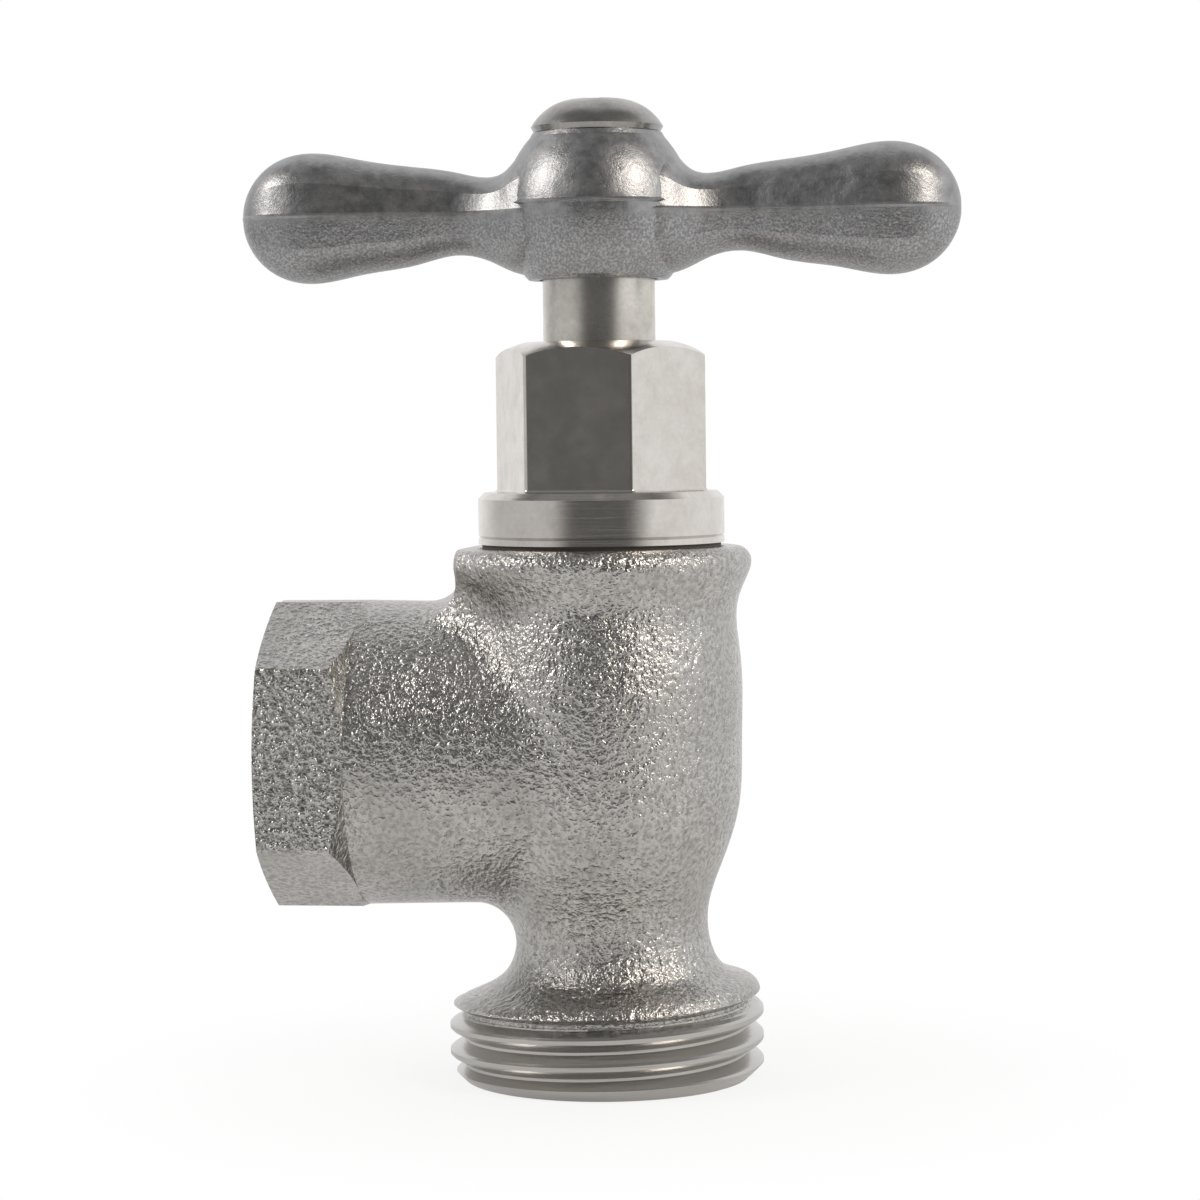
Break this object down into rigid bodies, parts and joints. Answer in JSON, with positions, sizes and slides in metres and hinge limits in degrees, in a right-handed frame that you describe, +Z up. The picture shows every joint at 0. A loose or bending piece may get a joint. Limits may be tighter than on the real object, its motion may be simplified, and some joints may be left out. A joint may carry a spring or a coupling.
{
  "type": "hose bibb",
  "caption": "Angle hose bibb with a female pipe inlet, a rising stem with a tee handle and a male hose thread outlet.",
  "frame": {"origin": "centre of the inlet's mouth", "axes": "+Z up along the stem, -X out of the inlet's mouth, outlet down"},
  "size_m": [0.0611, 0.0268, 0.083],
  "materials": {
    "body": "rough sand-cast brass with nickel plate",
    "turned": "turned brass with satin nickel plate",
    "die_cast": "tumbled zinc die casting with nickel plate",
    "screw": "nickel-plated steel",
    "brass": "turned brass",
    "spring": "phosphor bronze wire",
    "rubber": "black nitrile rubber",
    "fibre": "red vulcanised fibre"
  },
  "bodies": {
    "valve": {"valve_body": "body", "bonnet": "turned", "bonnet_gasket": "fibre"},
    "lift": {"washer_holder": "brass", "swivel_clip": "spring", "seat_washer": "rubber", "washer_screw": "brass"},
    "spindle": {"stem": "turned", "handle": "die_cast", "handle_screw": "screw", "lower_o_ring": "rubber", "upper_o_ring": "rubber"}
  },
  "joints": [
    {"name": "stem_rise", "type": "slide", "parent": "valve", "child": "lift", "axis": [0, 0, 1], "range_m": [0, 0.00635]},
    {"name": "handle_turn", "type": "hinge", "parent": "lift", "child": "spindle", "pos_m": [0.02765, 0, 0.046], "axis": [0, 0, 1], "range_deg": [0, 900]}
  ],
  "couplings": [
    {"joint": "handle_turn", "follows": "stem_rise", "rad_per_m": 2473.7}
  ]
}
